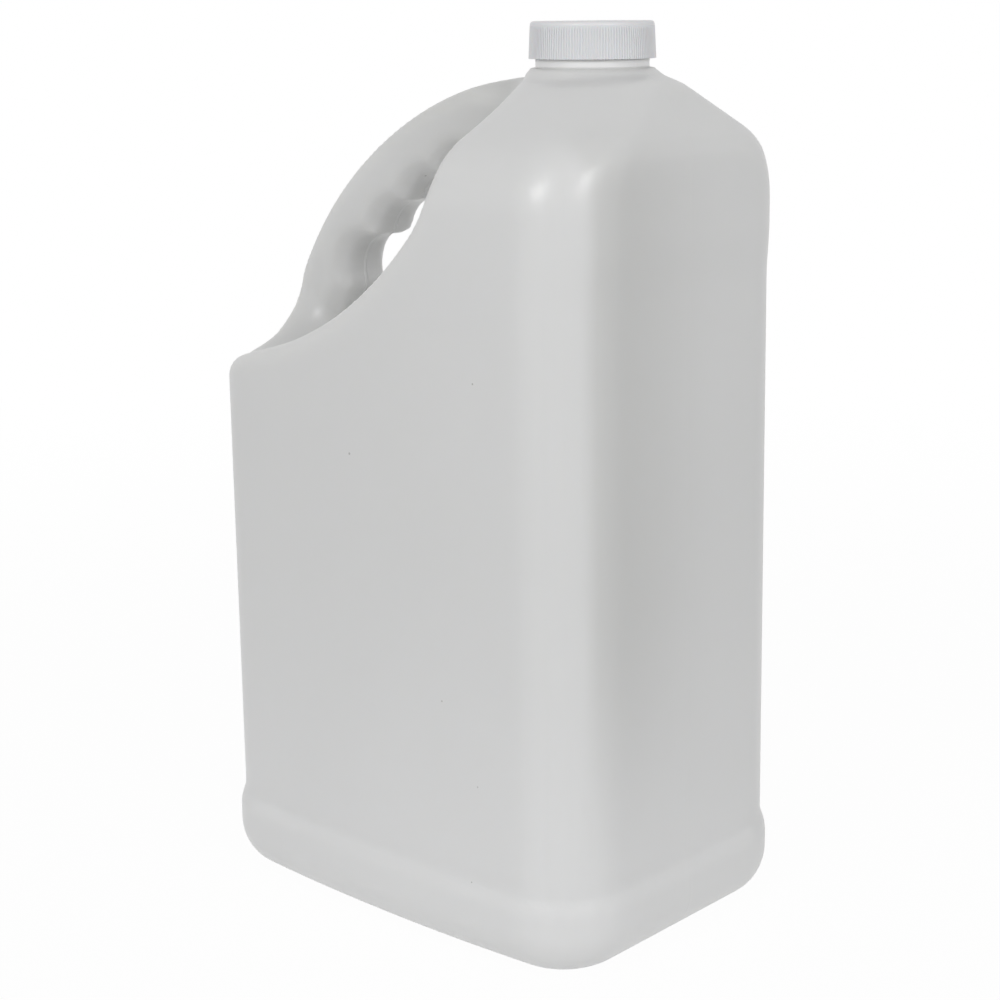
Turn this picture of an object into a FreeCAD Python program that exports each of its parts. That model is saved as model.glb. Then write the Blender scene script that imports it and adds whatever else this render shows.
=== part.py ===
import FreeCAD, Part
import math
import os
from FreeCAD import Vector

# One-gallon blown jug with a slanted top, a through handle and a screw cap.
# X runs along the wide faces with the neck at the +X end, Y runs across them,
# and Z is up. The origin is the middle of the base, on the surface that the
# jug stands on. All sizes are in millimetres, and angles are in degrees.

# Body, as seen from above
HALF_LENGTH = 84.0          # middle of the jug to its narrow end walls
HALF_DEPTH = 55.3           # middle to a wide face, where the face meets a corner
FACE_BOW = 4.5              # how far each wide face swells out in its middle
CORNER_ROUND = 22.2         # radius of the four upright corners
WALL = 0.8                  # blown wall

# Base
BASE_FLARE = 2.0            # how far the base band stands out from the panels
BASE_ROUND = 18.5           # radius of the bottom edge
BAND_HEIGHT = 22.0          # top of the upright part of the base band
BAND_BLEND = 10.0           # radius that draws the band back in to the panels
PUSH_UP_INSET = 27.0        # edge of the raised middle of the base, in from the panels
PUSH_UP_CORNER = 12.0       # its own corner radius
PUSH_UP_HEIGHT = 4.0
PUSH_UP_DRAFT = 6.0         # how far its wall leans in over that height

# Shoulders
SWELL = 0.9                 # how far the neck end stands out under its shoulder
SWELL_DEPTH = 67.0          # crown to the height where that starts
SWELL_FULL_DEPTH = 49.0     # crown to the height where it is complete
CROWN_HEIGHT = 281.0        # where the slopes would meet a level top
SIDE_SLOPE = 34.0           # fall of the two long shoulders
SIDE_RIM = 21.0             # half width at which that slope starts
SIDE_ROUND = 38.0           # radius that turns it into the wide face
END_SLOPE = 55.7            # fall of the shoulder at the neck end
END_RIM = 24.0              # neck axis to where that slope starts
END_ROUND = 17.0
RIM_ROUND = 10.0            # radius between the slopes and the top
TOWER_DEPTH = 69.0          # crown to the height above which the tower is shaped
TOWER_REACH = 50.3          # neck axis to the tower's farther limit
SECTION_STEP = 4.0          # spacing of the tower's level sections
CROWN_CAP = 3.0             # depth under the crown where they lie closer
CROWN_STEPS = 5
CROWN_BOW = 0.2             # least bow of the tower's long sides
CROWN_SIDE = 0.4            # least straight run beside its corners

# Neck and its screw finish
NECK_INSET = 38.7           # end wall to the neck's axis
PLATFORM_RADIUS = 20.5
PLATFORM_DEPTH = 6.0
PLATFORM_ROUND = 1.5
COLLAR_RADIUS = 17.9
COLLAR_HEIGHT = 3.4         # above the crown
FINISH_RADIUS = 17.5        # outside of the neck between its threads
FINISH_HEIGHT = 9.4         # above the collar
BORE_RADIUS = 15.5
LIP_ROUND = 0.5

# Handle
ARC_INSET = 8.3             # neck axis to the top of the handle's outer arc
ARC_DEPTH = 1.0             # crown to that top
ARC_DROP = 73.3             # from that top to where the arc reaches the end wall's plane
ARC_BLEND = 30.0            # radius that turns the arc into the end wall
HANDLE_HALF = 13.0          # half width of the handle
HANDLE_THICK = 22.5         # outer arc to the crests between the finger scallops
GRIP_START = 60.0           # directions between which the grip is drawn; both ends are
GRIP_END = 180.0            # beyond what remains of it
GRIP_ROUND = 10.0           # radius of the grip's two inner edges
SCALLOP_RISE = 24.4         # the lowest scallop starts this high above the floor's start
SCALLOPS = ((22.5, 6.5), (19.4, 3.5), (19.4, 3.5), (19.4, 3.5))   # width and depth, going up
SCALLOP_CORE = 2.0          # depth of the ring of grip that each scallop takes with it
FOOT_ROUND = 8.0            # radius between the handle and the floor
HEAD_ROUND = 12.0           # radius between the handle and the tower

# Sloping floor under the handle
FLOOR_DEPTH = 99.8          # crown to the floor's height at the end wall
FLOOR_SLOPE = 14.8
RAMP_SLOPE = 47.9
RAMP_RUN = 0.5              # straight run of the ramp between its two blends
FLOOR_BLEND = 137.0         # radius from the floor to the ramp
TOWER_INSET = 15.8          # neck axis to the tower's upright flank
TOWER_BLEND = 41.0          # radius from the ramp to that flank

# Closure
LINER_THICK = 1.0
LINER_GAP = 0.25            # between the liner's rim and the cap's wall
SEAL_GAP = 0.03             # between the neck and the liner, and the liner and the cap
CAP_RADIUS = 20.0           # at the open end
CAP_TOP_RADIUS = 19.5
CAP_TOP = 1.5               # thickness of the cap's flat top
CAP_WALL_GAP = 0.45         # between the neck's threads and the cap's wall
CAP_SEAT_GAP = 0.35         # between the collar and the cap's open end
CAP_EDGE = 0.9              # rounding of the cap's top edge
RIB_COUNT = 140
RIB_DEPTH = 0.3
RIB_PLAIN = 1.1             # smooth band above the ribs

# Screw thread, one turn
THREAD_PITCH = 4.233
THREAD_DEPTH = 1.0
THREAD_ROOT = 1.8           # width where a thread leaves its wall
THREAD_CREST = 0.8
THREAD_RISE = 2.5           # collar to the middle of the neck's thread at its lower end
THREAD_TURNS = 1.0
THREAD_BITE = 0.1           # how far a thread is sunk into the wall that carries it
CAP_THREAD_START = 96.0     # the cap's thread starts this far round, half a pitch lower

# Places that follow from the sizes above
TOWER_START = CROWN_HEIGHT - TOWER_DEPTH
SWELL_START = CROWN_HEIGHT - SWELL_DEPTH
SWELL_END = CROWN_HEIGHT - SWELL_FULL_DEPTH
NECK_X = HALF_LENGTH - NECK_INSET
TOWER_X = NECK_X - TOWER_INSET
TOWER_EDGE_X = NECK_X - TOWER_REACH
COLLAR_TOP = CROWN_HEIGHT + COLLAR_HEIGHT
FINISH_TOP = COLLAR_TOP + FINISH_HEIGHT
THREAD_LOW = COLLAR_TOP + THREAD_RISE
ARC_X = NECK_X - ARC_INSET
ARC_RADIUS = ((ARC_X + HALF_LENGTH) ** 2 + ARC_DROP ** 2) / (2 * ARC_DROP)
ARC_Z = CROWN_HEIGHT - ARC_DEPTH - ARC_RADIUS
GRIP_RADIUS = ARC_RADIUS - HANDLE_THICK
FLOOR_START = CROWN_HEIGHT - FLOOR_DEPTH
CAP_BORE = FINISH_RADIUS + THREAD_DEPTH + CAP_WALL_GAP
CAP_LOW = COLLAR_TOP + CAP_SEAT_GAP
CAP_HIGH = FINISH_TOP + LINER_THICK + 2 * SEAL_GAP + CAP_TOP

END_MARGIN = 2.0            # how far a cut is carried past the surface that it opens
FAR = 400.0                 # longer than anything here
NEAR = 1e-4                 # closer than this counts as touching


def arc(first, middle, last):
    return Part.Arc(first, middle, last).toShape()


def direction(angle, radius):
    """Point in the middle plane, by direction and distance from the handle's arc centre."""
    turn = math.radians(angle)
    return Vector(ARC_X + radius * math.cos(turn), 0, ARC_Z + radius * math.sin(turn))


def middle(edge):
    return edge.valueAt((edge.FirstParameter + edge.LastParameter) / 2)


def touching(edge, shapes):
    """Whether the middle of an edge lies on every one of the shapes."""
    spot = Part.Vertex(middle(edge))
    return all(spot.distToShape(shape)[0] < NEAR for shape in shapes)


def outline(left, right, depth, bow, corner, z):
    """Rounded rectangle whose two wide sides bow outwards: a wire of eight edges."""
    centre = (left + right) / 2
    half = (right - left) / 2
    bow_radius = (half ** 2 + bow ** 2) / (2 * bow)
    bow_y = depth + bow - bow_radius
    run = half - corner
    corner_y = bow_y + math.sqrt((bow_radius - corner) ** 2 - run ** 2)
    lean = math.atan2(run, corner_y - bow_y)
    square = math.pi / 2

    def spot(side_x, side_y, turn):
        x = run + corner * math.sin(turn)
        y = corner_y + corner * math.cos(turn)
        return Vector(centre + side_x * x, side_y * y, z)

    def corner_arc(side_x, side_y, start, end):
        half_way = (start + end) / 2
        return arc(*(spot(side_x, side_y, turn) for turn in (start, half_way, end)))

    return Part.Wire([
        Part.makeLine(spot(1, -1, square), spot(1, 1, square)),
        corner_arc(1, 1, square, lean),
        arc(spot(1, 1, lean), Vector(centre, depth + bow, z), spot(-1, 1, lean)),
        corner_arc(-1, 1, lean, square),
        Part.makeLine(spot(-1, 1, square), spot(-1, -1, square)),
        corner_arc(-1, -1, square, lean),
        arc(spot(-1, -1, lean), Vector(centre, -depth - bow, z), spot(1, -1, lean)),
        corner_arc(1, -1, lean, square),
    ])


def panel_outline(grow, z):
    """Outline of the label panels, grown outwards all round."""
    length = HALF_LENGTH + grow
    return outline(-length, length, HALF_DEPTH + grow, FACE_BOW, CORNER_ROUND + grow, z)


def prism(wire, height):
    return Part.Face(wire).extrude(Vector(0, 0, height))


def base_slab(skin):
    """Foot of the jug: rounded below, drawn in to the panels above."""
    top = BAND_HEIGHT + BAND_BLEND
    slab = prism(panel_outline(BASE_FLARE - skin, skin), top - skin)
    slab = slab.makeFillet(BASE_ROUND - skin, [e for e in slab.Edges if e.BoundBox.ZMax < skin + NEAR])
    return slab.makeFillet(BAND_BLEND - skin, [e for e in slab.Edges if e.BoundBox.ZMin > top - NEAR])


def push_up(skin):
    """Raised middle of the base, which keeps the jug standing on a level ring."""
    rings = []
    for inset, z in ((PUSH_UP_INSET, 0), (PUSH_UP_INSET + PUSH_UP_DRAFT, PUSH_UP_HEIGHT)):
        length = HALF_LENGTH - inset + skin
        depth = HALF_DEPTH - inset + skin
        rings.append(outline(-length, length, depth, FACE_BOW, PUSH_UP_CORNER + skin, z + (skin if z else 0)))
    return Part.makeLoft(rings, True, True)


def shoulder_reach(z, wall, rim, slope, wall_round, skin):
    """How far out a shoulder stands at a height: wall, round, slope, round, crown."""
    fall = math.radians(slope)
    crown = CROWN_HEIGHT - skin
    wall = wall - skin
    rim = rim - skin * math.tan(fall / 2)
    wall_round = wall_round - skin
    rim_round = RIM_ROUND - skin
    corner_z = crown - (wall - rim) * math.tan(fall)
    wall_run = wall_round * math.tan(math.pi / 4 - fall / 2)
    rim_run = rim_round * math.tan(fall / 2)
    if z <= corner_z - wall_run:
        return wall
    if z <= corner_z + wall_run * math.sin(fall):
        rise = z - corner_z + wall_run
        return wall - wall_round + math.sqrt(wall_round ** 2 - rise ** 2)
    if z <= crown - rim_run * math.sin(fall):
        return rim + (crown - z) / math.tan(fall)
    rise = min(z - crown + rim_round, rim_round)
    return rim - rim_run + math.sqrt(rim_round ** 2 - rise ** 2)


def swell(z):
    """Soft swelling of the neck end under its shoulder."""
    share = min(max((z - SWELL_START) / (SWELL_END - SWELL_START), 0), 1)
    return SWELL * share ** 2 * (3 - 2 * share)


def tower_section(z, skin):
    side_wall = HALF_DEPTH + FACE_BOW
    end = shoulder_reach(z, HALF_LENGTH + swell(z), NECK_X + END_RIM, END_SLOPE, END_ROUND, skin)
    side = shoulder_reach(z, side_wall, SIDE_RIM, SIDE_SLOPE, SIDE_ROUND, skin)
    bow = max(FACE_BOW * (side + skin - SIDE_RIM) / (side_wall - SIDE_RIM), CROWN_BOW)
    corner = min(CORNER_ROUND - skin, side - bow - CROWN_SIDE)
    return outline(skin - HALF_LENGTH, end, side - bow, bow, corner, z)


def tower(skin):
    """Shoulders under the neck, drawn through level sections."""
    rim_start = CROWN_HEIGHT - skin - CROWN_CAP
    steps = round((rim_start - TOWER_START) / SECTION_STEP)
    heights = [TOWER_START + i * (rim_start - TOWER_START) / steps for i in range(steps + 1)]
    turns = [math.pi / 2 * i / CROWN_STEPS for i in range(1, CROWN_STEPS + 1)]
    heights += [rim_start + CROWN_CAP * math.sin(turn) for turn in turns]
    shape = Part.makeLoft([tower_section(z, skin) for z in heights], True)
    corner = Vector(TOWER_EDGE_X, -FAR / 2, TOWER_START)
    return shape.common(Part.makeBox(FAR, FAR, FAR, corner))


def arc_form(skin):
    """All that lies inside the end wall and the handle's outer arc."""
    wall = skin - HALF_LENGTH
    blend = ARC_BLEND - skin
    radius = ARC_RADIUS - skin
    gap = radius - blend
    blend_x = wall + blend
    blend_z = ARC_Z + math.sqrt(gap ** 2 - (ARC_X - blend_x) ** 2)
    join = math.degrees(math.atan2(blend_z - ARC_Z, blend_x - ARC_X))
    turn = math.radians((180 + join) / 2)
    start = Vector(wall, 0, blend_z)
    knee = Vector(blend_x + blend * math.cos(turn), 0, blend_z + blend * math.sin(turn))
    top = direction(90, radius)
    corners = [top, Vector(FAR, 0, top.z), Vector(FAR, 0, 0), Vector(wall, 0, 0), start]
    edges = [
        arc(start, knee, direction(join, radius)),
        arc(direction(join, radius), direction((join + 90) / 2, radius), top),
    ]
    edges += [Part.makeLine(a, b) for a, b in zip(corners, corners[1:])]
    face = Part.Face(Part.Wire(edges))
    face.translate(Vector(0, -FAR / 2, 0))
    return face.extrude(Vector(0, FAR, 0))


def rounded(before, corner, after, radius):
    """Arc that rounds a corner between two lines."""
    back = (before - corner).normalize()
    ahead = (after - corner).normalize()
    half = back.getAngle(ahead) / 2
    inward = (back + ahead).normalize()
    centre = corner + inward * (radius / math.sin(half))
    run = radius / math.tan(half)
    return arc(corner + back * run, centre - inward * radius, corner + ahead * run)


def floor_path(skin):
    """Floor, ramp and tower flank in the middle plane, from the end wall upwards."""
    floor = math.radians(FLOOR_SLOPE)
    ramp = math.radians(RAMP_SLOPE)
    ahead = Vector(math.cos(floor), 0, math.sin(floor))
    outward = Vector(math.sin(floor), 0, -math.cos(floor))
    high_run = TOWER_BLEND * math.tan((math.pi / 2 - ramp) / 2)
    low_run = FLOOR_BLEND * math.tan((ramp - floor) / 2)
    knee_x = TOWER_X - (low_run + RAMP_RUN + high_run) * math.cos(ramp)
    knee = Vector(knee_x, 0, FLOOR_START + (knee_x + HALF_LENGTH) * math.tan(floor))
    knee = knee + (outward + ahead * math.tan((ramp - floor) / 2)) * skin
    start = knee - ahead * ((knee.x + HALF_LENGTH + END_MARGIN) / math.cos(floor))
    flank_x = TOWER_X + skin
    bend = Vector(flank_x, 0, knee.z + (flank_x - knee.x) * math.tan(ramp))
    end = Vector(flank_x, 0, FAR)
    first = rounded(start, knee, bend, FLOOR_BLEND + skin)
    second = rounded(knee, bend, end, TOWER_BLEND + skin)
    return [
        Part.makeLine(start, first.firstVertex(True).Point),
        first,
        Part.makeLine(first.lastVertex(True).Point, second.firstVertex(True).Point),
        second,
        Part.makeLine(second.lastVertex(True).Point, end),
    ]


def across(wire, half):
    """Solid made by drawing a wire in the middle plane out to both sides."""
    face = Part.Face(wire)
    face.translate(Vector(0, -half, 0))
    return face.extrude(Vector(0, 2 * half, 0))


def handle_bar(skin):
    """Everything between the grip and the open air, as wide as the handle."""
    ring = GRIP_RADIUS + skin
    foot = direction(GRIP_END, ring)
    head = direction(GRIP_START, ring)
    corners = [foot, Vector(-FAR, 0, foot.z), Vector(-FAR, 0, FAR), Vector(head.x, 0, FAR), head]
    edges = [Part.makeLine(a, b) for a, b in zip(corners, corners[1:])]
    edges.append(arc(head, direction((GRIP_START + GRIP_END) / 2, ring), foot))
    bar = across(Part.Wire(edges), HANDLE_HALF - skin)
    inner = [e for e in bar.Edges if e.Curve.TypeId == "Part::GeomCircle"]
    return bar.makeFillet(GRIP_ROUND - skin, inner)


def recess(skin):
    """Void on both sides of the handle and under it, above the sloping floor."""
    path = floor_path(skin)
    start = path[0].firstVertex(True).Point
    end = path[-1].lastVertex(True).Point
    corner = Vector(start.x, 0, end.z)
    closing = [Part.makeLine(end, corner), Part.makeLine(corner, start)]
    bar = handle_bar(skin)
    void = across(Part.Wire(path + closing), FAR / 2).cut(bar)
    carrier = Part.Wire(path)
    carrier.translate(Vector(0, -FAR / 2, 0))
    carrier = carrier.extrude(Vector(0, FAR, 0))
    seams = [e for e in void.Edges if touching(e, [bar, carrier])]
    void = void.makeFillet(HEAD_ROUND + skin, [e for e in seams if middle(e).x > 0])
    seams = [e for e in void.Edges if touching(e, [bar, carrier])]
    return void.makeFillet(FOOT_ROUND + skin, [e for e in seams if middle(e).x < 0])


def scallops(skin):
    """Rods that press the finger scallops into the grip."""
    base = Vector(ARC_X, -HANDLE_HALF, ARC_Z)
    across_y = Vector(0, 1, 0)
    core = Part.makeCylinder(GRIP_RADIUS - skin - SCALLOP_CORE, 2 * HANDLE_HALF, base, across_y)
    turn = math.pi - math.asin((FLOOR_START + SCALLOP_RISE - ARC_Z) / GRIP_RADIUS)
    rods = []
    for width, depth in SCALLOPS:
        chord = width / 2
        half = math.asin(chord / GRIP_RADIUS)
        sag = GRIP_RADIUS * (1 - math.cos(half)) + depth
        radius = (chord ** 2 + sag ** 2) / (2 * sag)
        centre = direction(math.degrees(turn - half), GRIP_RADIUS + depth - radius)
        centre.y = -HANDLE_HALF
        rods.append(Part.makeCylinder(radius + skin, 2 * HANDLE_HALF, centre, across_y).cut(core))
        turn = turn - 2 * half
    return rods


def form(skin):
    """The jug's body without its neck: the outside, or the inside when a skin is given."""
    panels = prism(panel_outline(-skin, BAND_HEIGHT), FAR)
    low = Part.makeBox(FAR, FAR, TOWER_START, Vector(-FAR / 2, -FAR / 2, 0))
    rear = Part.makeBox(FAR, FAR, FAR, Vector(TOWER_EDGE_X - FAR, -FAR / 2, 0))
    limit = arc_form(skin)
    panels = panels.common(low.fuse(rear)).common(limit)
    whole = panels.fuse([base_slab(skin), tower(skin).common(limit)]).cut(push_up(skin)).removeSplitter()
    return whole.cut([recess(skin)] + scallops(skin))


def ring_thread(radius, outwards, start, turns, low):
    """Screw thread: a ridge that climbs a cylinder wall from a direction and a height."""
    root = radius - THREAD_BITE * outwards
    crest = radius + THREAD_DEPTH * outwards
    corners = [
        Vector(root, 0, -THREAD_ROOT / 2),
        Vector(crest, 0, -THREAD_CREST / 2),
        Vector(crest, 0, THREAD_CREST / 2),
        Vector(root, 0, THREAD_ROOT / 2),
    ]
    spine = Part.Wire(Part.makeHelix(THREAD_PITCH, turns * THREAD_PITCH, radius).Edges)
    ridge = spine.makePipeShell([Part.makePolygon(corners + corners[:1])], True, True)
    ridge.rotate(Vector(), Vector(0, 0, 1), start)
    ridge.translate(Vector(NECK_X, 0, low + THREAD_PITCH * start / 360))
    return ridge


def disc(radius, low, high):
    return Part.makeCylinder(radius, high - low, Vector(NECK_X, 0, low))


def jug_body():
    """Blown body with its neck and thread, hollow throughout."""
    platform = disc(PLATFORM_RADIUS, CROWN_HEIGHT - PLATFORM_DEPTH, CROWN_HEIGHT)
    top = [e for e in platform.Edges if e.BoundBox.ZMin > CROWN_HEIGHT - NEAR]
    platform = platform.makeFillet(PLATFORM_ROUND, top)
    collar = disc(COLLAR_RADIUS, CROWN_HEIGHT - PLATFORM_DEPTH, COLLAR_TOP)
    finish = disc(FINISH_RADIUS, COLLAR_TOP - PLATFORM_DEPTH, FINISH_TOP)
    finish = finish.makeFillet(LIP_ROUND, [e for e in finish.Edges if e.BoundBox.ZMin > FINISH_TOP - NEAR])
    thread = ring_thread(FINISH_RADIUS, 1, 0, THREAD_TURNS, THREAD_LOW)
    bore = disc(BORE_RADIUS, CROWN_HEIGHT - PLATFORM_DEPTH, FINISH_TOP + END_MARGIN)
    body = form(0).fuse([platform, collar, finish, thread])
    return body.cut(form(WALL).fuse(bore))


def rib_outline(radius, z):
    """Closed zigzag around the cap, one point out and one in for each rib."""
    points = []
    for i in range(2 * RIB_COUNT + 1):
        turn = math.pi * (i % (2 * RIB_COUNT)) / RIB_COUNT
        reach = radius - RIB_DEPTH * (i % 2)
        points.append(Vector(NECK_X + reach * math.cos(turn), reach * math.sin(turn), z))
    return Part.makePolygon(points)


def cap_radius(z):
    share = (z - CAP_LOW) / (CAP_HIGH - CAP_LOW)
    return CAP_RADIUS + (CAP_TOP_RADIUS - CAP_RADIUS) * share


def cap():
    """Screw cap: ribbed skirt, plain rounded top and one thread inside."""
    rib_top = CAP_HIGH - RIB_PLAIN
    skirt = Part.makeLoft([rib_outline(cap_radius(z), z) for z in (CAP_LOW, rib_top)], True, True)
    lid = Part.makeCone(cap_radius(rib_top), CAP_TOP_RADIUS, RIB_PLAIN, Vector(NECK_X, 0, rib_top))
    lid = lid.makeFillet(CAP_EDGE, [e for e in lid.Edges if e.BoundBox.ZMin > CAP_HIGH - NEAR])
    hollow = disc(CAP_BORE, CAP_LOW - END_MARGIN, CAP_HIGH - CAP_TOP)
    thread = ring_thread(CAP_BORE, -1, CAP_THREAD_START, THREAD_TURNS, THREAD_LOW - THREAD_PITCH / 2)
    return skirt.fuse(lid).cut(hollow).fuse(thread)


def cap_liner():
    """Sealing disc between the neck and the cap."""
    low = FINISH_TOP + SEAL_GAP
    return disc(CAP_BORE - LINER_GAP, low, low + LINER_THICK)


os.makedirs("parts", exist_ok=True)
for name, shape in (("jug_body", jug_body()), ("cap", cap()), ("cap_liner", cap_liner())):
    shape.exportStep("parts/" + name + ".step")
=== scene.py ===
import math

import bmesh
import bpy
from mathutils import Matrix, Vector


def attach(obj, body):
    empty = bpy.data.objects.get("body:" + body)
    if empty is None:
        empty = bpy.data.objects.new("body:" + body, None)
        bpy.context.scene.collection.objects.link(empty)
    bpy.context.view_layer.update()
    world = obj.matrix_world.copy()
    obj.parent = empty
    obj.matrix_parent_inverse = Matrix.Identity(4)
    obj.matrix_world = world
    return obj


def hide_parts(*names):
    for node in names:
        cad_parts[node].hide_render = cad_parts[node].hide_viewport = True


bl_info = {
    "name": "Gallon Jug",
    "version": (1, 0, 0),
    "blender": (4, 5, 0),
    "location": "View3D > Sidebar > Jug",
    "description": "Builds a blown plastic jug with its screw cap, and a plain studio",
    "category": "Object",
}

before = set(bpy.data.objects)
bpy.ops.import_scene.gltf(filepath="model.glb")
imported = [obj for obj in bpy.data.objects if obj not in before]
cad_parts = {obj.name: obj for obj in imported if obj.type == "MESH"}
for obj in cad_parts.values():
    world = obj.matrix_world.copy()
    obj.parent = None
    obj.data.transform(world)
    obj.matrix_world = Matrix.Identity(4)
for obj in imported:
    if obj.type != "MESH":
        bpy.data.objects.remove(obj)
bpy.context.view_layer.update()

MM = 0.001


# ---------------------------------------------------------------- nodes

class Value:
    """A socket of a node tree. Arithmetic on it adds Math nodes."""

    def __init__(self, kit, socket):
        self.kit = kit
        self.socket = socket

    def __add__(self, other):
        return self.kit.math("ADD", self, other)

    def __radd__(self, other):
        return self.kit.math("ADD", other, self)

    def __sub__(self, other):
        return self.kit.math("SUBTRACT", self, other)

    def __rsub__(self, other):
        return self.kit.math("SUBTRACT", other, self)

    def __mul__(self, other):
        return self.kit.math("MULTIPLY", self, other)

    def __rmul__(self, other):
        return self.kit.math("MULTIPLY", other, self)

    def __truediv__(self, other):
        return self.kit.math("DIVIDE", self, other)

    def __rtruediv__(self, other):
        return self.kit.math("DIVIDE", other, self)

    def __neg__(self):
        return self.kit.math("MULTIPLY", self, -1.0)

    def __abs__(self):
        return self.kit.math("ABSOLUTE", self)


class Kit:
    """Adds nodes to one tree."""

    def __init__(self, tree):
        self.tree = tree

    def node(self, kind, settings=None, sockets=None):
        """A node with its settings first and then its sockets' values or links."""
        node = self.tree.nodes.new(kind)
        for name, value in (settings or {}).items():
            setattr(node, name, value)
        for key, value in (sockets or {}).items():
            if isinstance(value, Value):
                self.tree.links.new(value.socket, node.inputs[key])
            else:
                node.inputs[key].default_value = value
        return node

    def value(self, kind, settings=None, sockets=None, output=0):
        """One output of a new node."""
        return Value(self, self.node(kind, settings, sockets).outputs[output])

    def math(self, operation, *terms):
        return self.value("ShaderNodeMath", {"operation": operation}, dict(enumerate(terms)))

    def low(self, a, b):
        return self.math("MINIMUM", a, b)

    def high(self, a, b):
        return self.math("MAXIMUM", a, b)

    def limit(self, a, low, high):
        return self.low(self.high(a, low), high)

    def root(self, a):
        return self.math("SQRT", a)

    def long(self, a, b):
        """Length of the vector (a, b)."""
        return self.root(a * a + b * b)

    def over(self, a, b):
        """1 where a is more than b, and 0 elsewhere."""
        return self.math("GREATER_THAN", a, b)

    def step(self, a, start, end):
        """Rises smoothly from 0 to 1 as a goes from start to end."""
        share = self.limit((a - start) / (end - start), 0.0, 1.0)
        return share * share * (3.0 - share * 2.0)

    def blend(self, share, a, b):
        """a where the share is 0, b where it is 1, and even steps between."""
        return a + share * (b - a)

    def meet(self, a, b, radius, lean=0.0):
        """Distance to what two forms share, with their edge rounded.

        The lean is the cosine of the angle between the two surfaces' normals.
        """
        u = a + radius
        v = b + radius
        inside = self.over(u, v * lean) * self.over(v, u * lean)
        square = self.high((u * u - u * v * (2.0 * lean) + v * v) / (1.0 - lean * lean), 0.0)
        return self.blend(inside, self.high(a, b), self.root(square) - radius)

    def join(self, a, b, radius, lean=0.0):
        """Distance to two forms taken together, with the corner between them filled."""
        return -self.meet(-a, -b, radius, lean)

    def axes(self, vector):
        """The vector's three parts."""
        split = self.node("ShaderNodeSeparateXYZ", sockets={0: vector})
        return [Value(self, split.outputs[i]) for i in range(3)]


def new_tree(name, inputs):
    """Geometry tree with a geometry in and out and one named number for each size."""
    tree = bpy.data.node_groups.new(name, "GeometryNodeTree")
    tree.interface.new_socket(name="Geometry", in_out="INPUT", socket_type="NodeSocketGeometry")
    tree.interface.new_socket(name="Geometry", in_out="OUTPUT", socket_type="NodeSocketGeometry")
    for label, default in inputs:
        socket = tree.interface.new_socket(
            name=label, in_out="INPUT", socket_type="NodeSocketFloat")
        socket.default_value = default
    entry = tree.nodes.new("NodeGroupInput")
    kit = Kit(tree)
    return kit, {label: Value(kit, entry.outputs[label]) for label, default in inputs}


def end_tree(kit, geometry, material):
    """Realizes the geometry, gives it its material and sends it out."""
    real = kit.value("GeometryNodeRealizeInstances", sockets={0: geometry})
    skinned = kit.value("GeometryNodeSetMaterial", sockets={
        "Geometry": real,
        "Material": material,
    })
    exit_node = kit.tree.nodes.new("NodeGroupOutput")
    kit.tree.links.new(skinned.socket, exit_node.inputs[0])


def grow(tree, sizes):
    """Plain mesh that a geometry tree makes with these sizes."""
    holder = bpy.data.objects.new("holder", bpy.data.meshes.new("holder"))
    bpy.context.scene.collection.objects.link(holder)
    modifier = holder.modifiers.new("form", "NODES")
    modifier.node_group = tree
    for item in tree.interface.items_tree:
        if item.in_out == "INPUT" and item.name in sizes:
            modifier[item.identifier] = sizes[item.name]
    graph = bpy.context.evaluated_depsgraph_get()
    mesh = bpy.data.meshes.new_from_object(holder.evaluated_get(graph))
    bpy.data.objects.remove(holder)
    return mesh


# ---------------------------------------------------------------- the jug's form

# Sizes in millimetres and degrees. A pair named _X, _Y or _Z is where something starts and
# where it is full along that axis. SCALLOPS are widths and depths, from the foot up.
CELL = 1.7
INNER_CELL = 3.5
WALL = 0.8
HALF_LENGTH = 84.0
HALF_DEPTH = 55.3
FACE_BOW = 4.5
CROWN_BOW = 0.2
CORNER_ROUND = 22.2
CORNER_FLAT = 0.4
HALF_WALL = {"side": HALF_DEPTH + FACE_BOW, "end": HALF_LENGTH}
BASE_FLARE = 2.0
BASE_ROUND = 16.8
BAND_HEIGHT = 22.0
BAND_BLEND = 10.0
BAND_SOFT = 2.5
PUSH_UP_INSET = 27.0
PUSH_UP_CORNER = 12.0
PUSH_UP_HEIGHT = 4.0
PUSH_UP_DRAFT = 6.0
PUSH_UP_SOFT = 3.0
PUSH_UP_LEAN = 0.8
CROWN_HEIGHT = 281.0
SWELL = 0.9
SWELL_START = CROWN_HEIGHT - 67.0
SWELL_END = CROWN_HEIGHT - 49.0
SIDE_SLOPE = 32.7
SIDE_RIM = 19.0
SIDE_ROUND = 27.0
END_SLOPE = 55.7
END_RIM = 24.0
END_ROUND = 17.0
RIM_ROUND = 8.0
CROWN_SOFT = 4.0
CROWN_SOFT_X = (-60.0, -30.0)
NECK_X = HALF_LENGTH - 38.7
PLATFORM_RADIUS = 20.5
PLATFORM_DEPTH = 12.0
PLATFORM_RISE = 0.8
NECK_START = CROWN_HEIGHT + PLATFORM_RISE
PLATFORM_ROUND = 2.0
PLATFORM_SOFT = 3.5
ARC_X = NECK_X - 8.3
ARC_DROP = 73.3
ARC_LOWER = 1.4
ARC_RADIUS = ((ARC_X + HALF_LENGTH) ** 2 + ARC_DROP ** 2) / (2 * ARC_DROP)
ARC_Z = CROWN_HEIGHT - ARC_LOWER - ARC_RADIUS
ARC_BLEND = 30.0
HANDLE_HALF = 13.0
HANDLE_THICK = 21.5
GRIP_RADIUS = ARC_RADIUS - HANDLE_THICK
GRIP_ROUND = 8.0
SCALLOP_RISE = 24.4
SCALLOPS = ((22.5, 6.5), (19.4, 3.5), (19.4, 3.5), (19.4, 3.5))
CREST_SOFT = 2.0
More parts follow.
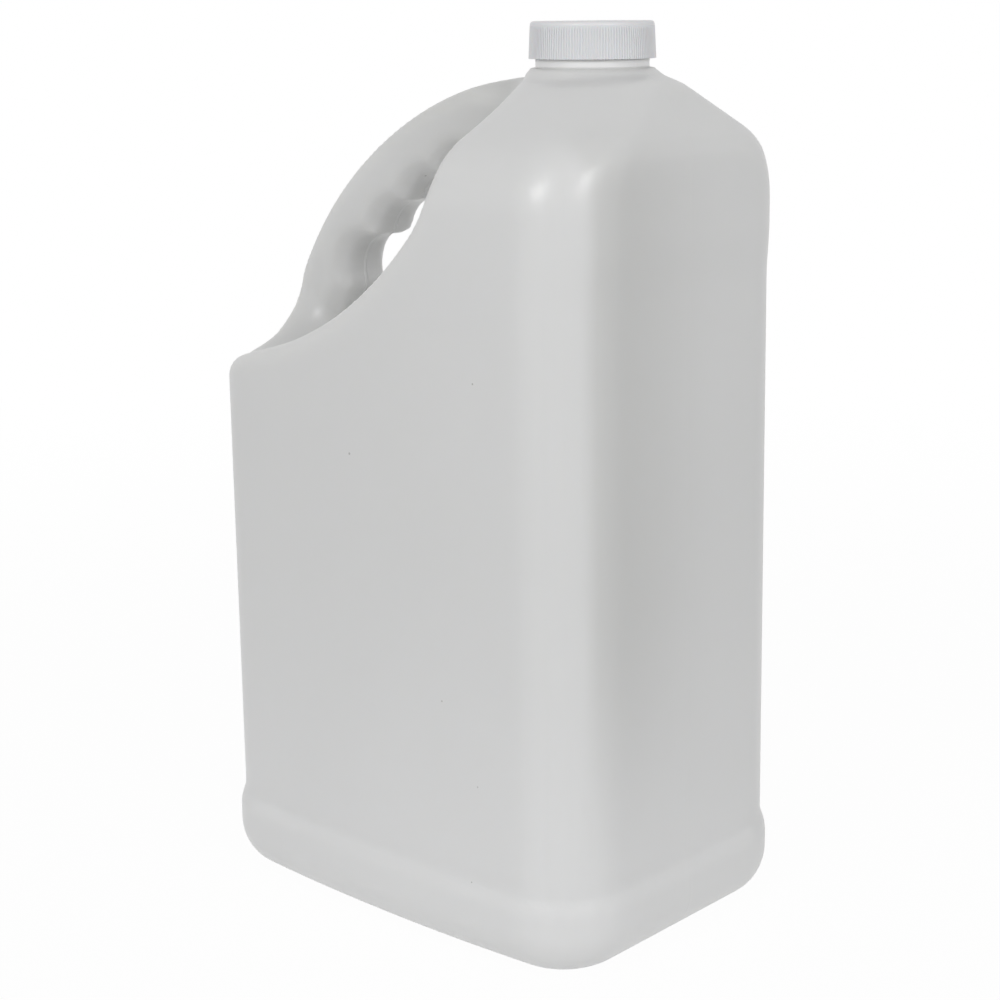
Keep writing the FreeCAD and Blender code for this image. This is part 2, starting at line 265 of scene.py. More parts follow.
FOOT_ROUND = 8.0
FOOT_SIDE = 12.0
FOOT_SIDE_Y = (0.4 * HANDLE_HALF, HANDLE_HALF)
FOOT_FLARE = 24.0
FOOT_SPREAD = 0.54
FOOT_FLARE_X = (-62.0, -HALF_LENGTH)
HEAD_ROUND = 12.0
HEAD_X = (-20.0, 10.0)
FLOOR_START = CROWN_HEIGHT - 99.8
FLOOR_SLOPE = 14.8
RAMP_SLOPE = 47.9
RAMP_RUN = 0.5
FLOOR_BLEND = 137.0
TOWER_X = NECK_X - 15.8
TOWER_BLEND = 41.0
EDGE_ROUND = 4.5
CORNER_SOFT = 1.5
CORNER_SOFT_X = (-50.0, 2.0 - HALF_LENGTH)
CORNER_SOFT_Y = (HANDLE_HALF + 4.0, 2.0 * HANDLE_HALF)
RIM_SOFT = 6.0
RIM_SOFT_X = (2.0, 22.0)
RIM_SOFT_Z = (252.0, 272.0)
GRID_MARGIN = (6, 12, 4)
FAR = 300.0
NEAR_NONE = 0.01
OUTSIDE = -10.0


def reach_of(kit, z, wall, rim, slope, wall_round):
    """How far out a shoulder stands at a height, and its normal's level part."""
    fall = math.radians(slope)
    run = wall_round * math.tan(math.pi / 4 - fall / 2)
    start = CROWN_HEIGHT - run - (HALF_WALL[wall] - rim) * math.tan(fall)
    end = start + wall_round * math.cos(fall)
    last = CROWN_HEIGHT - RIM_ROUND * (1 - math.cos(fall))
    rise = kit.limit(z - start, 0.0, wall_round * math.cos(fall))
    turn = kit.root(wall_round ** 2 - rise * rise)
    top = kit.limit(z - (CROWN_HEIGHT - RIM_ROUND), RIM_ROUND * math.cos(fall), RIM_ROUND)
    top_turn = kit.root(kit.high(RIM_ROUND ** 2 - top * top, 0.0))
    straight = kit.limit(z - end, 0.0, last - end) / math.tan(fall)
    flat = HALF_WALL[wall] - wall_round - RIM_ROUND * math.sin(fall)
    reach = turn - straight + top_turn + flat
    level = turn * top_turn / (wall_round * RIM_ROUND * math.sin(fall))
    return reach, level


def shell_form(kit, x, y, z):
    """Distance to the jug without its handle's recess: base, panels and shoulders."""
    side, side_level = reach_of(kit, z, "side", SIDE_RIM, SIDE_SLOPE, SIDE_ROUND)
    end, end_level = reach_of(kit, z, "end", NECK_X + END_RIM, END_SLOPE, END_ROUND)
    end = end + kit.step(z, SWELL_START, SWELL_END) * SWELL
    drop = kit.limit(z - BAND_HEIGHT, 0.0, BAND_BLEND - NEAR_NONE)
    flare = kit.root(BAND_BLEND ** 2 - drop * drop) + (BASE_FLARE - BAND_BLEND)
    flare = kit.math("SMOOTH_MAX", flare, 0.0, BAND_SOFT)
    bow = kit.high((side - SIDE_RIM) * (FACE_BOW / (HALF_WALL["side"] - SIDE_RIM)), CROWN_BOW)
    share = (x - (end - HALF_LENGTH) * 0.5) / ((end + HALF_LENGTH) * 0.5)
    corner = kit.low(side - bow - CORNER_FLAT, CORNER_ROUND) + flare
    wide = y - side + bow * share * share - flare
    narrow = kit.high(x - end, -HALF_LENGTH - x) - flare
    u = kit.high(wide + corner, 0.0)
    v = kit.high(narrow + corner, 0.0)
    outline = kit.low(kit.high(wide, narrow), -corner) + kit.long(u, v)
    far = u * u + NEAR_NONE
    along = v * v + NEAR_NONE
    end_level = kit.blend(kit.over(x, 0.0), 1.0, end_level)
    level = (side_level * far + end_level * along) / (far + along)
    return kit.meet(outline * level, -z, BASE_ROUND)


def arc_limit(kit, x, z):
    """Distance to all that lies inside the end wall and the handle's outer arc."""
    blend_x = ARC_BLEND - HALF_LENGTH
    blend_z = ARC_Z + math.sqrt((ARC_RADIUS - ARC_BLEND) ** 2 - (ARC_X - blend_x) ** 2)
    dx = x - ARC_X
    dz = z - ARC_Z
    ring = kit.long(kit.low(dx, 0.0), dz) - ARC_RADIUS
    plain = kit.blend(kit.over(z, blend_z), -FAR, ring)
    turn = kit.long(x - blend_x, z - blend_z) - ARC_BLEND
    beyond = dx * (blend_z - ARC_Z) - dz * (blend_x - ARC_X)
    inside = kit.over(z, blend_z) * kit.over(0.0, beyond) * kit.over(blend_x, x)
    return kit.blend(inside, plain, turn)


def floor_form(kit, x, z):
    """Distance to the sloping floor, the ramp and the tower's flank."""
    floor = math.radians(FLOOR_SLOPE)
    ramp = math.radians(RAMP_SLOPE)
    low_run = FLOOR_BLEND * math.tan((ramp - floor) / 2)
    high_run = TOWER_BLEND * math.tan((math.pi / 2 - ramp) / 2)
    knee_x = TOWER_X - (low_run + RAMP_RUN + high_run) * math.cos(ramp)
    knee_z = FLOOR_START + (knee_x + HALF_LENGTH) * math.tan(floor)
    flat = (z - knee_z) * math.cos(floor) - (x - knee_x) * math.sin(floor)
    steep = (z - knee_z) * math.cos(ramp) - (x - knee_x) * math.sin(ramp)
    rise = kit.join(flat, steep, FLOOR_BLEND, math.cos(ramp - floor))
    return kit.join(rise, TOWER_X - x, TOWER_BLEND, math.sin(ramp))


def grip_void(kit, x, z):
    """Distance to the space inside the handle, with its finger scallops."""
    space = kit.long(x - ARC_X, z - ARC_Z) - GRIP_RADIUS
    turn = math.pi - math.asin((FLOOR_START + SCALLOP_RISE - ARC_Z) / GRIP_RADIUS)
    for width, depth in SCALLOPS:
        chord = width / 2
        half = math.asin(chord / GRIP_RADIUS)
        sag = depth + GRIP_RADIUS * (1 - math.cos(half))
        radius = (sag * sag + chord ** 2) / (sag * 2.0)
        centre = depth + GRIP_RADIUS - radius
        dx = x - centre * math.cos(turn - half) - ARC_X
        dz = z - centre * math.sin(turn - half) - ARC_Z
        space = kit.math("SMOOTH_MIN", space, kit.long(dx, dz) - radius, CREST_SOFT)
        turn = turn - 2 * half
    return space


def push_up_form(kit, x, y, z):
    """Distance to the hollow under the base."""
    bow = x * x * (FACE_BOW / HALF_LENGTH ** 2)
    lean = z * (PUSH_UP_DRAFT / PUSH_UP_HEIGHT)
    wide = y - (HALF_WALL["side"] - PUSH_UP_INSET) + bow
    narrow = abs(x) - (HALF_LENGTH - PUSH_UP_INSET)
    outline = kit.meet(wide + lean, narrow + lean, PUSH_UP_CORNER)
    slant = PUSH_UP_HEIGHT / math.hypot(PUSH_UP_HEIGHT, PUSH_UP_DRAFT)
    return kit.meet(outline * slant, z - PUSH_UP_HEIGHT, PUSH_UP_SOFT, PUSH_UP_LEAN)


def body_tree(material):
    """Geometry tree of the blown body, without its neck, from one distance rule."""
    kit, size = new_tree("jug_form", [
        ("Cell", CELL),
        ("Skin", 0.0),
        ("Edge Round", EDGE_ROUND),
        ("Grip Round", GRIP_ROUND),
    ])
    place = kit.value("GeometryNodeInputPosition")
    x, y, z = (axis * (1 / MM) for axis in kit.axes(place))
    y = abs(y)
    soft = kit.step(x, *CROWN_SOFT_X) * CROWN_SOFT + NEAR_NONE
    whole = kit.meet(shell_form(kit, x, y, z), arc_limit(kit, x, z), soft)
    near_end = kit.step(x, *FOOT_FLARE_X)
    gap = (y - HANDLE_HALF) * kit.blend(near_end, 1.0, FOOT_SPREAD)
    grip = kit.meet(gap, -grip_void(kit, x, z), size["Grip Round"])
    foot = kit.blend(kit.step(y, *FOOT_SIDE_Y), FOOT_ROUND, FOOT_SIDE)
    foot = foot + near_end * (FOOT_FLARE - FOOT_SIDE)
    fill = kit.blend(kit.step(x, *HEAD_X), foot, HEAD_ROUND)
    carved = kit.join(floor_form(kit, x, z), grip, fill)
    corner = kit.step(x, *CORNER_SOFT_X) * kit.step(y, *CORNER_SOFT_Y)
    rim = kit.step(x, *RIM_SOFT_X) * kit.step(z, *RIM_SOFT_Z)
    body = kit.meet(whole, carved, size["Edge Round"] + corner * CORNER_SOFT + rim * RIM_SOFT)
    axis = kit.long(x - NECK_X, y)
    platform = kit.meet(axis - PLATFORM_RADIUS, z - NECK_START, PLATFORM_ROUND)
    platform = kit.high(platform, CROWN_HEIGHT - PLATFORM_DEPTH - z)
    body = kit.high(kit.join(body, platform, PLATFORM_SOFT), z - NECK_START)
    body = kit.meet(body, -push_up_form(kit, x, y, z), PUSH_UP_SOFT)
    body = body + size["Skin"]
    mx, my, mz = GRID_MARGIN
    low = Vector((-HALF_LENGTH - mx, -HALF_DEPTH - my, -mz)) * MM
    high = Vector((HALF_LENGTH + mx, HALF_DEPTH + my, CROWN_HEIGHT + mz)) * MM
    cells = {"Resolution " + "XYZ"[i]: (high[i] - low[i]) / MM / size["Cell"] for i in range(3)}
    volume = kit.value("GeometryNodeVolumeCube", sockets={
        "Density": -body,
        "Background": OUTSIDE,
        "Min": low,
        "Max": high,
        **cells,
    })
    skin = kit.value("GeometryNodeVolumeToMesh", {"resolution_mode": "GRID"}, {
        "Volume": volume,
        "Threshold": 0.0,
        "Adaptivity": 0.0,
    })
    smooth = kit.value("GeometryNodeSetShadeSmooth", sockets={"Geometry": skin})
    end_tree(kit, smooth, material)
    return kit.tree


# ---------------------------------------------------------------- turned parts

# Sizes in millimetres and degrees
SEGMENTS = 192
ROUND_STEPS = 5
FINE_ROUND = 0.15
COLLAR_RADIUS = 17.9
COLLAR_TOP = CROWN_HEIGHT + 3.4
FINISH_RADIUS = 17.5
FINISH_TOP = CROWN_HEIGHT + 12.8
FINISH_FOOT_ROUND = 0.1
LIP_ROUND = 0.5
BORE_RADIUS = 15.5
OPENING_DEPTH = 0.6
OPENING_CLEAR = 0.8
OPENING_CLEAR_INNER = 1.5
THREAD_PITCH = 4.233
THREAD_DEPTH = 1.0
THREAD_SINK = 0.1
THREAD_ROOT = 1.8
THREAD_CREST = 0.8
THREAD_LOW = CROWN_HEIGHT + 5.9
THREAD_STEPS = 160
CAP_THREAD_LOW = THREAD_LOW - THREAD_PITCH / 2
CAP_THREAD_START = 96.0
CAP_LOW = CROWN_HEIGHT + 3.5
CAP_HIGH = CROWN_HEIGHT + 15.0
CAP_RADIUS = 20.0
CAP_TOP_RADIUS = 19.5
CAP_BORE = 18.95
CAP_BORE_ROUND = 0.3
CAP_TOP = 1.14
CAP_EDGE = 1.2
CAP_WIDEN_LOW = CAP_HIGH - 2.4
CAP_WIDEN_HIGH = CAP_HIGH - 1.3
RIB_COUNT = 140
RIB_DEPTH = 0.3
RIB_RADIUS = 0.27
RIB_SIDES = 6
RIB_PROUD = 0.05
RIB_TOP = CAP_HIGH - 1.5
LINER_RADIUS = 18.7
LINER_LOW = FINISH_TOP + 0.03
LINER_HIGH = LINER_LOW + 1.0
LINER_ROUND = 0.2
SHARP_ANGLE = 40.0
WELD = 0.001


def add_ring(bm, radius, height):
    """Ring of vertices round the neck's axis."""
    turns = [2 * math.pi * i / SEGMENTS for i in range(SEGMENTS)]
    spots = [(NECK_X + radius * math.cos(t), radius * math.sin(t), height) for t in turns]
    return [bm.verts.new(Vector(spot) * MM) for spot in spots]


def join_rings(bm, rings):
    """Faces between neighbouring rings."""
    for first, second in zip(rings, rings[1:]):
        count = len(first)
        for i in range(count):
            j = (i + 1) % count
            bm.faces.new((first[i], first[j], second[j], second[i]))


def turned(bm, profile):
    """Closed solid of revolution round the neck's axis from (radius, height) points.

    The profile runs from the axis to the axis, with its outer side on the right.
    """
    rings = [add_ring(bm, radius, height) for radius, height in profile[1:-1]]
    join_rings(bm, rings)
    for ring, (_, height) in ((rings[0], profile[0]), (rings[-1], profile[-1])):
        pole = bm.verts.new(Vector((NECK_X, 0, height)) * MM)
        for a, b in zip(ring, ring[1:] + ring[:1]):
            bm.faces.new((a, b, pole))


def rounded(points, radii, steps=ROUND_STEPS):
    """Profile with its corners rounded, each by its own radius."""
    path = []
    for i, (point, radius) in enumerate(zip(points, radii)):
        here = Vector(point)
        if radius == 0 or i in (0, len(points) - 1):
            path.append(here)
            continue
        back = (Vector(points[i - 1]) - here).normalized()
        ahead = (Vector(points[i + 1]) - here).normalized()
        half = back.angle(ahead) / 2
        centre = here + (back + ahead).normalized() * (radius / math.sin(half))
        start = here + back * (radius / math.tan(half)) - centre
        end = here + ahead * (radius / math.tan(half)) - centre
        for k in range(steps + 1):
            spoke = start.lerp(end, k / steps)
            path.append(centre + spoke.normalized() * radius)
    return [tuple(point) for point in path]


def thread_tree(material):
    """Geometry tree of one screw thread: a ridge swept along a helix."""
    kit, size = new_tree("screw_thread", [
        ("Radius", FINISH_RADIUS),
        ("Height", THREAD_LOW),
        ("Pitch", THREAD_PITCH),
        ("Depth", THREAD_DEPTH),
        ("Root", THREAD_ROOT),
        ("Crest", THREAD_CREST),
        ("Start", 0.0),
    ])
    line = kit.value("GeometryNodeCurvePrimitiveLine")
    line = kit.value("GeometryNodeResampleCurve", sockets={"Curve": line, "Count": THREAD_STEPS})
    share = kit.value("GeometryNodeSplineParameter")
    turn = share * (2 * math.pi) + size["Start"]
    rise = size["Height"] + size["Pitch"] * turn / (2 * math.pi)
    spot = kit.value("ShaderNodeCombineXYZ", sockets={
        "X": (kit.math("COSINE", turn) * size["Radius"] + NECK_X) * MM,
        "Y": kit.math("SINE", turn) * size["Radius"] * MM,
        "Z": rise * MM,
    })
    path = kit.value("GeometryNodeSetPosition", sockets={"Geometry": line, "Position": spot})
    path = kit.value("GeometryNodeSetCurveNormal", {"mode": "Z_UP"}, {"Curve": path})
    index = kit.value("GeometryNodeInputIndex")
    outer = kit.over(index, 0.5) * kit.over(2.5, index)
    upper = kit.over(index, 1.5)
    width = kit.blend(outer, size["Root"], size["Crest"])
    across = kit.value("ShaderNodeCombineXYZ", sockets={
        "X": kit.blend(outer, -THREAD_SINK, 1.0) * size["Depth"] * MM,
        "Y": width * (upper - 0.5) * MM,
    })
    ridge = kit.value("GeometryNodeCurvePrimitiveQuadrilateral")
    ridge = kit.value("GeometryNodeSetPosition", sockets={"Geometry": ridge, "Position": across})
    swept = kit.value("GeometryNodeCurveToMesh", sockets={
        "Curve": path,
        "Profile Curve": ridge,
        "Fill Caps": True,
    })
    end_tree(kit, swept, material)
    return kit.tree


def rib_tree(material):
    """Geometry tree of the cap's grip: one rib set round the neck's axis many times."""
    kit, size = new_tree("cap_ribs", [
        ("Count", float(RIB_COUNT)),
        ("Low Radius", CAP_RADIUS),
        ("High Radius", CAP_TOP_RADIUS + RIB_PROUD),
        ("Low", CAP_LOW),
        ("High", RIB_TOP),
        ("Depth", RIB_DEPTH),
    ])
    bar = kit.value("GeometryNodeMeshCone", {"fill_type": "NGON"}, {
        "Vertices": RIB_SIDES,
        "Radius Top": RIB_RADIUS * MM,
        "Radius Bottom": RIB_RADIUS * MM,
        "Depth": MM,
    })
    bx, by, bz = kit.axes(kit.value("GeometryNodeInputPosition"))
    share = bz * (1 / MM)
    height = kit.blend(share, size["Low"], size["High"])
    inset = kit.blend(share, size["Low Radius"], size["High Radius"]) - RIB_RADIUS
    bar = kit.value("GeometryNodeSetPosition", sockets={
        "Geometry": bar,
        "Position": kit.value("ShaderNodeCombineXYZ", sockets={
            "X": bx + inset * MM,
            "Y": by,
            "Z": height * MM,
        }),
    })
    points = kit.value("GeometryNodePoints", sockets={"Count": size["Count"]})
    index = kit.value("GeometryNodeInputIndex")
    turn = index * (2 * math.pi) / size["Count"]
    turn = kit.value("ShaderNodeCombineXYZ", sockets={"Z": turn})
    ring = kit.value("GeometryNodeInstanceOnPoints", sockets={
        "Points": points,
        "Instance": bar,
        "Rotation": turn,
    })
    ring = kit.value("GeometryNodeRealizeInstances", sockets={0: ring})
    moved = kit.value("GeometryNodeTransform", sockets={
        "Geometry": ring,
        "Translation": Vector((NECK_X * MM, 0, 0)),
    })
    end_tree(kit, moved, material)
    return kit.tree


def add_mesh(bm, mesh):
    """Moves a mesh's faces into a working mesh."""
    bm.from_mesh(mesh)
    bpy.data.meshes.remove(mesh)


def add_closed(bm, mesh):
    """Adds a closed mesh with its faces turned outwards."""
    piece = bmesh.new()
    piece.from_mesh(mesh)
    bmesh.ops.recalc_face_normals(piece, faces=piece.faces)
    piece.to_mesh(mesh)
    piece.free()
    add_mesh(bm, mesh)


def finished(bm, name, material):
    """Object from a working mesh, smooth except at its sharp edges."""
    mesh = bpy.data.meshes.new(name)
    bm.to_mesh(mesh)
    bm.free()
    mesh.materials.clear()
    mesh.materials.append(material)
    for face in mesh.polygons:
        face.material_index = 0
    mesh.shade_smooth()
    mesh.set_sharp_from_angle(angle=math.radians(SHARP_ANGLE))
    shown = bpy.data.objects.new(name, mesh)
    bpy.context.scene.collection.objects.link(shown)
    return shown


def open_top(bm, top, keep_radius, ring_radius):
    """Opens a shell's level top and fits a round hole in it for the neck."""
    def inside(vert):
        off = Vector((vert.co.x - NECK_X * MM, vert.co.y)).length
        return off < keep_radius * MM and vert.co.z > (top - OPENING_DEPTH) * MM

    gone = [vert for vert in bm.verts if inside(vert)]
    bmesh.ops.delete(bm, geom=gone, context="VERTS")
    edges = [edge for edge in bm.edges if edge.is_boundary]
    ring = add_ring(bm, ring_radius, top)
    loop = [bm.edges.new((a, b)) for a, b in zip(ring, ring[1:] + ring[:1])]
    bmesh.ops.triangle_fill(bm, use_beauty=True, edges=edges + loop)
    return ring


# ---------------------------------------------------------------- materials

# Zones of the wall in millimetres, for the painted light and painted shade in its colour. Each
# pair is
# where a zone starts and where it is full: the painted shade on the upper handle along x, y and
# z, the painted shade in a band of the end wall along x, y twice and z twice, and the grip's
# along x and z. The grip is also a ring round the handle's arc.
# Painted light: the wall is painted lighter towards the base, where light from the floor falls
LIT_BASE_ZONE = (160.0, 0.0)
# Painted shade: the upper handle is painted darker
SHADED_HANDLE_ZONE = ((30.0, 20.0), (14.5, 12.5), (240.0, 275.0))
# Painted shade: a darker band on one side of the end wall, next to the near corner
SHADED_END_ZONE = ((66.0, 77.0), (-47.0, -41.0), (20.0, -35.0), (20.0, 120.0), (272.0, 245.0))
GRIP_ZONE = ((0.0, -10.0), (185.0, 195.0))
GRIP_INNER = 105.0
GRIP_OUTER = 125.5
# Painted light: the grip's scallops are painted lighter across the handle's middle, where they
# lie in shade
LIT_GRIP_ZONE = (12.5, 8.0)
SEAM_ZONE = (0.8, 0.3)
SEAM_FAINT = 0.12
SEAM_HEIGHT = 0.3
WAXY_HEIGHT = 0.006
# Painted light: the neck is painted lighter above this rise, where the cap casts shade
LIT_NECK_RISE = 0.3

# The wall's tone runs from dark at 0 to light at 1, and each zone shifts it. The base, neck and
# grip zones shift it with painted light, and the handle and end zones with painted shade.
DARK_SHADE = (0.86, 0.86, 0.845)
LIGHT_SHADE = 1.25
SHADE_EVEN = 0.28
SHADE_CLOUD = 0.13
# Painted light on the base, the neck and the grip, and painted shade on the upper handle and on
# a band of the end wall
BASE_PAINTED_LIGHT = 0.3
NECK_PAINTED_LIGHT = 0.6
SHADE_SEAM = 0.9
GRIP_PAINTED_LIGHT = 0.5
HANDLE_PAINTED_SHADE = -0.33
END_PAINTED_SHADE = -0.35
SPECK_COLOUR = (0.25, 0.24, 0.21, 1.0)
SPECK_RADIUS = 0.026
SPECK_SHARE = 0.5
SPECK_STRENGTH = 0.5


def new_material(name, colour, roughness):
    material = bpy.data.materials.new(name)
    material.use_nodes = True
    material.node_tree.nodes.clear()
    kit = Kit(material.node_tree)
    shader = kit.node("ShaderNodeBsdfPrincipled", sockets={
        "Base Color": (*colour, 1.0),
        "Roughness": roughness,
    })
    out = kit.node("ShaderNodeOutputMaterial")
    kit.tree.links.new(shader.outputs[0], out.inputs[0])
    return material, kit, shader


def feed(kit, shader, socket, value):
    """Links a value to one of the shader's sockets."""
    kit.tree.links.new(value.socket, shader.inputs[socket])


def noise(kit, place, scale, detail=2.0):
    """Soft noise over the surface."""
    return kit.value("ShaderNodeTexNoise", sockets={
        "Vector": place,
        "Scale": scale,
        "Detail": detail,
    })


def zone(kit, places, pairs):
    """1 inside a zone and 0 outside it, with soft limits along several places."""
    share, *others = [kit.step(place, *pair) for place, pair in zip(places, pairs)]
    for other in others:
        share = share * other
    return share


def natural_hdpe(colour):
    """Milky, slightly waxy blown plastic with a parting line and a few specks.

    Its colour has painted light on the base, neck and grip, and painted shade on the upper
    handle and a band of the end wall.
    """
    material, kit, shader = new_material("natural_hdpe", colour, 0.36)
    shader.inputs["Subsurface Weight"].default_value = 0.25
    shader.inputs["Subsurface Radius"].default_value = (1.0, 0.95, 0.8)
    shader.inputs["Subsurface Scale"].default_value = 0.006
    shader.inputs["Specular IOR Level"].default_value = 0.62
    place = kit.value("ShaderNodeTexCoord", output=3)
    x, y, z = (axis * (1 / MM) for axis in kit.axes(place))
    cloud = noise(kit, place, 14.0)
    cells = kit.node("ShaderNodeTexVoronoi", sockets={"Vector": place, "Scale": 62.0})
    distance = Value(kit, cells.outputs["Distance"])
    pick = kit.axes(Value(kit, cells.outputs["Color"]))[0]
    speck = kit.over(SPECK_RADIUS, distance) * kit.over(pick, SPECK_SHARE)
    reach = kit.long(x - ARC_X, z - ARC_Z)
    scallops = kit.over(reach, GRIP_INNER) * kit.over(GRIP_OUTER, reach)
    scallops = scallops * zone(kit, (x, z), GRIP_ZONE)
    seam = kit.step(abs(y), *SEAM_ZONE) * kit.blend(scallops, SEAM_FAINT, 1.0)
    # Random tone and the seam, plus painted light and painted shade from the zones
    tone_and_painted_light = (
        cloud * SHADE_CLOUD
        # painted light, lighter towards the base
        + kit.step(z, *LIT_BASE_ZONE) * BASE_PAINTED_LIGHT
        # painted light, a lighter neck under the cap
        + kit.over(z, NECK_START + LIT_NECK_RISE) * NECK_PAINTED_LIGHT
        + seam * scallops * SHADE_SEAM
        # painted light on the grip's scallops
        + scallops * kit.step(abs(y), *LIT_GRIP_ZONE) * GRIP_PAINTED_LIGHT
        # painted shade on the upper handle
        + zone(kit, (x, abs(y), z), SHADED_HANDLE_ZONE) * HANDLE_PAINTED_SHADE
        # painted shade in a band of the end wall, on one side only
        + zone(kit, (x, y, y, z, z), SHADED_END_ZONE) * END_PAINTED_SHADE
        + SHADE_EVEN
    )
    wall = kit.value("ShaderNodeMix", {"data_type": "RGBA"}, {
        "Factor": kit.limit(tone_and_painted_light, 0.0, 1.0),
        "A": (*(part * dark for part, dark in zip(colour, DARK_SHADE)), 1.0),
        "B": (*(min(part * LIGHT_SHADE, 1.0) for part in colour), 1.0),
    }, output=2)
    tone = kit.value("ShaderNodeMix", {"data_type": "RGBA"}, {
        "Factor": speck * SPECK_STRENGTH,
        "A": wall,
        "B": SPECK_COLOUR,
    }, output=2)
    feed(kit, shader, "Base Color", tone)
    feed(kit, shader, "Roughness", cloud * 0.08 + 0.32)
    fine = noise(kit, place, 420.0, 1.0)
    bump = kit.value("ShaderNodeBump", sockets={
        "Strength": 1.0,
        "Distance": 1.0,
        "Height": seam * (SEAM_HEIGHT * MM) + fine * (WAXY_HEIGHT * MM),
    })
    feed(kit, shader, "Normal", bump)
    return material


def white_cap(colour):
    """Satin white moulding."""
    material, kit, shader = new_material("white_cap", colour, 0.4)
    shader.inputs["Subsurface Weight"].default_value = 0.08
    shader.inputs["Subsurface Scale"].default_value = 0.002
    place = kit.value("ShaderNodeTexCoord", output=3)
    cloud = noise(kit, place, 60.0)
    feed(kit, shader, "Roughness", cloud * 0.1 + 0.35)
    return material


def liner_foam(colour):
    """Soft foam sealing disc."""
    material, kit, shader = new_material("liner_foam", colour, 0.8)
    place = kit.value("ShaderNodeTexCoord", output=3)
    grain = noise(kit, place, 900.0)
    bump = kit.value("ShaderNodeBump", sockets={"Distance": 0.05 * MM, "Height": grain})
    feed(kit, shader, "Normal", bump)
    return material


WHITE = (1.0, 1.0, 1.0, 1.0)
# In metres from the jug: where the floor starts to fade to white, and where it is white
FLOOR_FADE = (0.25, 1.0)
FLOOR_GLOW = 0.97
FLOOR_LIGHT = 0.04


def seen(kit):
    """1 for the rays that show a surface: from the camera, in gloss or through glass."""
    path = kit.node("ShaderNodeLightPath")
    rays = [Value(kit, path.outputs[name]) for name in (
        "Is Camera Ray", "Is Glossy Ray", "Is Transmission Ray")]
    return kit.high(kit.high(rays[0], rays[1]), rays[2])


def studio_floor(colour):
    """Pale floor that keeps a soft shadow near the jug and fades to white beyond."""
    material = bpy.data.materials.new("studio_floor")
    material.use_nodes = True
    material.node_tree.nodes.clear()
    kit = Kit(material.node_tree)
    x, y, _ = kit.axes(kit.value("ShaderNodeTexCoord", output=3))
    glow = kit.blend(kit.step(kit.long(x, y), *FLOOR_FADE), FLOOR_GLOW, 1.0)
    plain = kit.value("ShaderNodeBsdfDiffuse", sockets={"Color": (*colour, 1.0)})
    white = kit.value("ShaderNodeEmission", sockets={"Color": WHITE, "Strength": 1.0})
    mixed = kit.value("ShaderNodeMixShader", sockets={
        0: kit.high(seen(kit) * glow, FLOOR_LIGHT),
        1: plain,
        2: white,
    })
    kit.node("ShaderNodeOutputMaterial", sockets={0: mixed})
    return material


# ---------------------------------------------------------------- properties

def length(name, description, default):
    """Property for a length in metres."""
    return bpy.props.FloatProperty(
        name=name, description=description, default=default, min=0.0, unit="LENGTH", precision=5)


def colour(name, description, default):
    """Property for a colour."""
    return bpy.props.FloatVectorProperty(
        name=name, description=description, default=default, min=0.0, max=1.0, subtype="COLOR")


class JugBodySizes(bpy.types.PropertyGroup):
    """Sizes and colour of the blown body"""
    cell: length("Cell", "Size of the grid that the body's skin is drawn on", CELL * MM)
    inner_cell: length(
        "Inner cell", "Size of the grid for the inside of the wall", INNER_CELL * MM)
    wall: length("Wall", "Thickness of the blown wall", WALL * MM)
    edge_round: length(
        "Edge round", "Radius of the outer edges of the recess and the handle", EDGE_ROUND * MM)
    grip_round: length("Grip round", "Radius of the handle's inner edges", GRIP_ROUND * MM)
    tint: colour("Colour", "Colour of the milky plastic", (0.75, 0.75, 0.743))


class JugCapSizes(bpy.types.PropertyGroup):
    """Sizes and colours of the cap and its liner"""
    ribs: bpy.props.IntProperty(
        name="Ribs", description="Ribs round the cap", default=RIB_COUNT, min=8)
    rib_depth: length("Rib depth", "How far the ribs stand out", RIB_DEPTH * MM)
    edge: length("Edge", "Rounding of the cap's top edge", CAP_EDGE * MM)
    tint: colour("Colour", "Colour of the cap", (0.757, 0.752, 0.767))
    liner_tint: colour("Liner colour", "Colour of the sealing disc", (0.82, 0.82, 0.80))


class JugStageSizes(bpy.types.PropertyGroup):
    """Size, colour and light of the studio"""
    floor: length("Floor", "Width of the floor", 12.0)
    floor_tint: colour("Floor colour", "Colour of the floor", (0.85, 0.85, 0.85))
    fill: bpy.props.FloatProperty(
        name="Fill", description="Strength of the even light", default=0.495)


# ---------------------------------------------------------------- operators

